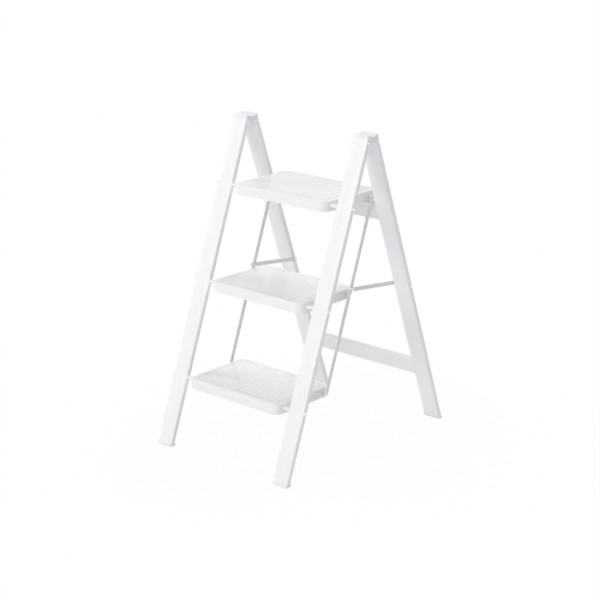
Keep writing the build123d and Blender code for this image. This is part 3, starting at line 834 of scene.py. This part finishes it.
def seen_directly(tree):
    """One where the camera sees a surface itself, or in a reflection or through glass, and zero for light."""
    path = add_node(tree, "ShaderNodeLightPath")
    mirrored_too = add_node(tree, "ShaderNodeMath", {"operation": "MAXIMUM"}, {
        0: path.outputs["Is Camera Ray"], 1: path.outputs["Is Glossy Ray"],
    })
    all_three = add_node(tree, "ShaderNodeMath", {"operation": "MAXIMUM"}, {
        0: mirrored_too.outputs[0], 1: path.outputs["Is Transmission Ray"],
    })
    return all_three.outputs[0]


def white_floor(stage):
    """A white floor: seen, it glows white apart from a share near the stool that takes the stool's shadow."""
    material, tree, place = new_finish("white_floor")
    away = add_node(tree, "ShaderNodeVectorMath", {"operation": "LENGTH"}, {0: place})
    share = add_node(tree, "ShaderNodeMapRange", {"interpolation_type": "SMOOTHSTEP"}, {
        "Value": away.outputs["Value"], "From Min": 0.0, "From Max": stage.shadow_reach,
        "To Min": stage.shadow, "To Max": 0.0,
    })
    paper_white = (stage.paper, stage.paper, stage.paper, 1)
    paper = add_node(tree, "ShaderNodeBsdfDiffuse", inputs={"Color": paper_white})
    glow = add_node(tree, "ShaderNodeEmission", inputs={"Color": WHITE, "Strength": 1.0})
    seen = add_node(tree, "ShaderNodeMixShader", inputs={
        "Fac": share.outputs["Result"], 1: glow.outputs[0], 2: paper.outputs[0],
    })
    mixed = add_node(tree, "ShaderNodeMixShader", inputs={
        "Fac": seen_directly(tree), 1: paper.outputs[0], 2: seen.outputs[0],
    })
    add_node(tree, "ShaderNodeOutputMaterial", inputs={"Surface": mixed.outputs[0]})
    return material


class STOOL_OT_stage(bpy.types.Operator):
    """Set up the camera, the white floor and background, and four soft lamps"""

    bl_idname = "stool.stage"
    bl_label = "Stage"

    def execute(self, context):
        stage = context.scene.stool_stage
        scene = context.scene
        scene.view_settings.view_transform = "Standard"

        back = Vector((
            math.sin(stage.azimuth) * math.cos(stage.elevation),
            -math.cos(stage.azimuth) * math.cos(stage.elevation),
            math.sin(stage.elevation),
        ))
        camera = bpy.data.objects.new("camera", bpy.data.cameras.new("camera"))
        camera.data.lens = stage.lens
        camera.location = Vector(stage.target) + back * stage.distance
        camera.rotation_euler = (-back).to_track_quat("-Z", "Y").to_euler()
        camera.data.clip_end = stage.reach
        scene.collection.objects.link(camera)
        scene.camera = camera

        world = bpy.data.worlds.new("white_studio")
        world.use_nodes = True
        world.node_tree.nodes.clear()
        scene.world = world
        tree = world.node_tree
        around = add_node(tree, "ShaderNodeBackground", inputs={"Color": WHITE, "Strength": stage.ambient})
        white = add_node(tree, "ShaderNodeBackground", inputs={"Color": WHITE, "Strength": 1.0})
        shown = add_node(tree, "ShaderNodeMixShader", inputs={
            "Fac": seen_directly(tree), 1: around.outputs[0], 2: white.outputs[0],
        })
        add_node(tree, "ShaderNodeOutputWorld", inputs={"Surface": shown.outputs[0]})

        bm = bmesh.new()
        bmesh.ops.create_grid(bm, x_segments=1, y_segments=1, size=stage.floor_size / 2)
        mesh = bpy.data.meshes.new("floor")
        bm.to_mesh(mesh)
        bm.free()
        mesh.materials.append(white_floor(stage))
        floor = bpy.data.objects.new("floor", mesh)
        scene.collection.objects.link(floor)

        for name in ("front", "side", "high", "behind"):
            where = getattr(stage, f"{name}_place")
            soft_lamp(f"{name}_lamp", getattr(stage, name), stage.lamp_size, where, stage.target)
        return {"FINISHED"}


class STOOL_OT_frame_tubes(bpy.types.Operator):
    """Coat the legs and crossbars, and plate the hinge pins"""

    bl_idname = "stool.frame_tubes"
    bl_label = "Frame tubes"

    def execute(self, context):
        legs = [f"{kind}_leg_{side_name}" for kind, side_name, _ in LEGS]
        for tube in (*legs, "upper_crossbar", "lower_crossbar"):
            coat_node(tube, "white_coated_tube")
        for side_name, _ in SIDES:
            coat_node(f"hinge_pin_{side_name}", "rivet_steel")
        return {"FINISHED"}


class STOOL_OT_tread_pans(bpy.types.Operator):
    """Mould the three tread pans"""

    bl_idname = "stool.tread_pans"
    bl_label = "Tread pans"

    def execute(self, context):
        sizes = context.scene.stool_tread
        for step in STEPS:
            middle, size = tread_top(step)
            pins = [centre(f"axle_{step}") - middle, centre(f"link_rivets_{step}") - middle]
            bm = bmesh.new()
            model_pan(bm, sizes, *size, pins)
            bmesh.ops.translate(bm, vec=middle, verts=bm.verts)
            finish_piece(bm, f"tread_pan_{step}", "white_tread", f"tread_{step}")
        return {"FINISHED"}


class STOOL_OT_tread_mats(bpy.types.Operator):
    """Press the three ribbed mats"""

    bl_idname = "stool.tread_mats"
    bl_label = "Tread mats"

    def execute(self, context):
        for step in STEPS:
            middle, size = tread_top(step)
            bm = bmesh.new()
            model_mat(bm, context.scene.stool_mat, context.scene.stool_tread, size.x, size.y)
            bmesh.ops.translate(bm, vec=middle, verts=bm.verts)
            finish_piece(bm, f"ribbed_mat_{step}", "tread_mat", f"tread_mat_{step}")
        return {"FINISHED"}


class STOOL_OT_top_caps(bpy.types.Operator):
    """Mould the four top caps with their hinge knuckles"""

    bl_idname = "stool.top_caps"
    bl_label = "Top caps"

    def execute(self, context):
        for kind, side_name, side in LEGS:
            bm = bmesh.new()
            model_cap(bm, context.scene.stool_frame, kind, side_name, side)
            finish_piece(bm, f"hinge_cap_{kind}_{side_name}", "cap_plastic", f"{kind}_cap_{side_name}")
        return {"FINISHED"}


class STOOL_OT_feet(bpy.types.Operator):
    """Mould the four feet"""

    bl_idname = "stool.feet"
    bl_label = "Feet"

    def execute(self, context):
        for kind, side_name, _ in LEGS:
            bm = bmesh.new()
            model_foot(bm, context.scene.stool_frame, kind, side_name)
            finish_piece(bm, f"foot_{kind}_{side_name}", "foot_plastic", f"{kind}_foot_{side_name}")
        return {"FINISHED"}


class STOOL_OT_links(bpy.types.Operator):
    """Stamp the two long links"""

    bl_idname = "stool.links"
    bl_label = "Long links"

    def execute(self, context):
        sizes = context.scene.stool_hardware
        start, end = centre("link_rivets_bottom"), centre("link_rivets_top")
        inner, outer = across("link_right")
        for side_name, side in SIDES:
            bm = bmesh.new()
            model_strip(bm, sizes.link_width, side_distance(end - start), outer - inner, sizes.strip_round)
            place_strip(bm, start, end, inner, side)
            finish_piece(bm, f"long_link_bar_{side_name}", "coated_link", f"link_{side_name}")
        return {"FINISHED"}


class STOOL_OT_stays(bpy.types.Operator):
    """Press the two short stays, each with a bead along its outer face"""

    bl_idname = "stool.stays"
    bl_label = "Stays"

    def execute(self, context):
        sizes = context.scene.stool_hardware
        start, end = centre("stay_rivet_right"), centre("stay_pins")
        inner, outer = across("stay_right")
        thickness = outer - inner - sizes.bead_rise
        span = side_distance(end - start)
        for side_name, side in SIDES:
            bm = bmesh.new()
            model_strip(bm, sizes.stay_height, span, thickness, sizes.strip_round)
            bead = rounded_plate(
                bm, sizes.bead_width, span - 2 * sizes.bead_end_room, sizes.bead_width / 2 - TOUCH,
            )
            bmesh.ops.translate(bm, vec=(0, 0, thickness / 2), verts=bead.verts)
            extrude(bm, bead, (0, 0, thickness / 2 + sizes.bead_rise))
            crest = corner_edges(bm, at_height(thickness + sizes.bead_rise))
            round_edges(bm, crest, sizes.bead_round, SMALL_EDGE_STEPS)
            place_strip(bm, start, end, inner, side)
            finish_piece(bm, f"stay_bar_{side_name}", "coated_link", f"stay_{side_name}")
        return {"FINISHED"}


class STOOL_OT_axles(bpy.types.Operator):
    """Turn the three axles with their heads, and the bushes beside the treads"""

    bl_idname = "stool.axles"
    bl_label = "Axles and bushes"

    def execute(self, context):
        sizes = context.scene.stool_hardware
        leg_face = across("front_leg_right")[1]
        for step in STEPS:
            axle = f"axle_{step}"
            place, head, end = centre(axle), radius_of(axle), across(axle)[1]
            bm = bmesh.new()
            turned(bm, place, stepped([
                (head, -end, -leg_face), (sizes.axle_radius, -leg_face, leg_face), (head, leg_face, end),
            ]))
            rims = corner_edges(bm, lambda point: abs(abs(point.x) - end) < TOUCH)
            round_edges(bm, rims, sizes.axle_head_round)
            finish_piece(bm, f"axle_rod_{step}", "rivet_steel", axle)

            bushes = f"axle_spacers_{step}"
            outer, far = radius_of(bushes), across(bushes)[1]
            near = across(f"tread_{step}")[1] + sizes.play
            bm = bmesh.new()
            for side in BOTH_SIDES:
                ring = [(near, sizes.axle_radius), (near, outer), (far, outer), (far, sizes.axle_radius)]
                turned(bm, place, [(side * x, radius) for x, radius in ring], closed=True)
            round_edges(bm, corner_edges(bm), sizes.bush_round, LEAST_EDGE_STEPS)
            finish_piece(bm, f"bush_pair_{step}", "spacer_nylon", bushes)
        return {"FINISHED"}


class STOOL_OT_rivets(bpy.types.Operator):
    """Turn the rivets of the links, stays and caps"""

    bl_idname = "stool.rivets"
    bl_label = "Rivets"

    def execute(self, context):
        sizes = context.scene.stool_hardware
        cap_lip = context.scene.stool_frame.cap_lip
        tread_side = across("tread_top")[1]
        link_low, link_high = across("link_right")
        stay_low, stay_high = across("stay_right")
        stay_high -= sizes.bead_rise
        rear_inner, rear_outer = across("rear_leg_right")
        play = sizes.play

        for step in STEPS:
            node = f"link_rivets_{step}"
            self.pins(sizes, f"link_rivet_pair_{step}", node, BOTH_SIDES, [
                (sizes.pin_radius, tread_side - play, tread_side),
                (sizes.shoulder_radius, tread_side, link_low - play),
                (sizes.pin_radius, link_low - play, link_high + play),
                (radius_of(node), link_high + play, across(node)[1]),
            ])
        for side_name, side in SIDES:
            stud, rivet = f"link_stud_{side_name}", f"stay_rivet_{side_name}"
            stud_start, stud_end = sorted(abs(x) for x in across(stud))
            self.pins(sizes, f"link_stud_head_{side_name}", stud, [side], [
                (radius_of(stud), stud_start, link_low),
                (sizes.pin_radius, link_low, link_high),
                (radius_of(stud), link_high, stud_end),
            ])
            rivet_end = max(abs(x) for x in across(rivet))
            self.pins(sizes, f"stay_rivet_head_{side_name}", rivet, [side], [
                (sizes.pin_radius, stay_low, stay_high),
                (radius_of(rivet), stay_high, rivet_end),
            ])

        self.pins(sizes, "stay_pin_pair", "stay_pins", BOTH_SIDES, [
            (sizes.stay_pin_head, stay_low - play - sizes.head_height, stay_low - play),
            (sizes.stay_pin_radius, stay_low - play, stay_high + play),
            (sizes.collar_radius, stay_high + play, rear_inner),
            (sizes.stay_pin_radius, rear_inner, rear_outer),
            (sizes.stay_pin_head, rear_outer, across("stay_pins")[1]),
        ])

        for kind in LEANS:
            node = f"{kind}_cap_rivets"
            low, high = across(f"{kind}_leg_right")
            faces = ((low - cap_lip, -sizes.cap_head_height), (high + cap_lip, sizes.cap_head_height))
            heads = [[(radius_of(node), face, face + height)] for face, height in faces]
            self.pins(sizes, f"cap_rivet_set_{kind}", node, BOTH_SIDES, *heads)
        return {"FINISHED"}

    def pins(self, sizes, name, node, sides, *shapes):
        """Pins of one or more stepped shapes on each of some sides, their corners rounded."""
        bm = bmesh.new()
        for side in sides:
            for rings in shapes:
                turned(bm, centre(node), stepped(rings, side))
        round_edges(bm, corner_edges(bm), sizes.head_round, SMALL_EDGE_STEPS)
        finish_piece(bm, name, "rivet_steel", node)


class STOOL_PT_panel(bpy.types.Panel):
    """The stool's operators, sizes and colours"""

    bl_idname = "STOOL_PT_panel"
    bl_label = "Step stool"
    bl_space_type = "VIEW_3D"
    bl_region_type = "UI"
    bl_category = "Step stool"

    def draw(self, context):
        for operator in OPERATORS:
            self.layout.operator(operator.bl_idname)
        for name in PROPERTY_GROUPS:
            group = getattr(context.scene, name)
            box = self.layout.box()
            for key in group.__annotations__:
                box.prop(group, key)


PROPERTY_GROUPS = {
    "stool_tread": StoolTread,
    "stool_mat": StoolMat,
    "stool_frame": StoolFrame,
    "stool_hardware": StoolHardware,
    "stool_finish": StoolFinish,
    "stool_stage": StoolStage,
}
OPERATORS = (
    STOOL_OT_stage,
    STOOL_OT_frame_tubes,
    STOOL_OT_tread_pans,
    STOOL_OT_tread_mats,
    STOOL_OT_top_caps,
    STOOL_OT_feet,
    STOOL_OT_links,
    STOOL_OT_stays,
    STOOL_OT_axles,
    STOOL_OT_rivets,
)


def register():
    for name, group in PROPERTY_GROUPS.items():
        bpy.utils.register_class(group)
        setattr(bpy.types.Scene, name, PointerProperty(type=group))
    for operator in OPERATORS:
        bpy.utils.register_class(operator)
    bpy.utils.register_class(STOOL_PT_panel)


def unregister():
    bpy.utils.unregister_class(STOOL_PT_panel)
    for operator in reversed(OPERATORS):
        bpy.utils.unregister_class(operator)
    for name, group in reversed(PROPERTY_GROUPS.items()):
        delattr(bpy.types.Scene, name)
        bpy.utils.unregister_class(group)


def main():
    """Build the stool and its stage."""
    register()
    bpy.ops.stool.stage()
    bpy.ops.stool.frame_tubes()
    bpy.ops.stool.tread_pans()
    bpy.ops.stool.tread_mats()
    bpy.ops.stool.top_caps()
    bpy.ops.stool.feet()
    bpy.ops.stool.links()
    bpy.ops.stool.stays()
    bpy.ops.stool.axles()
    bpy.ops.stool.rivets()
    bpy.context.view_layer.update()


if __name__ == "__main__":
    main()
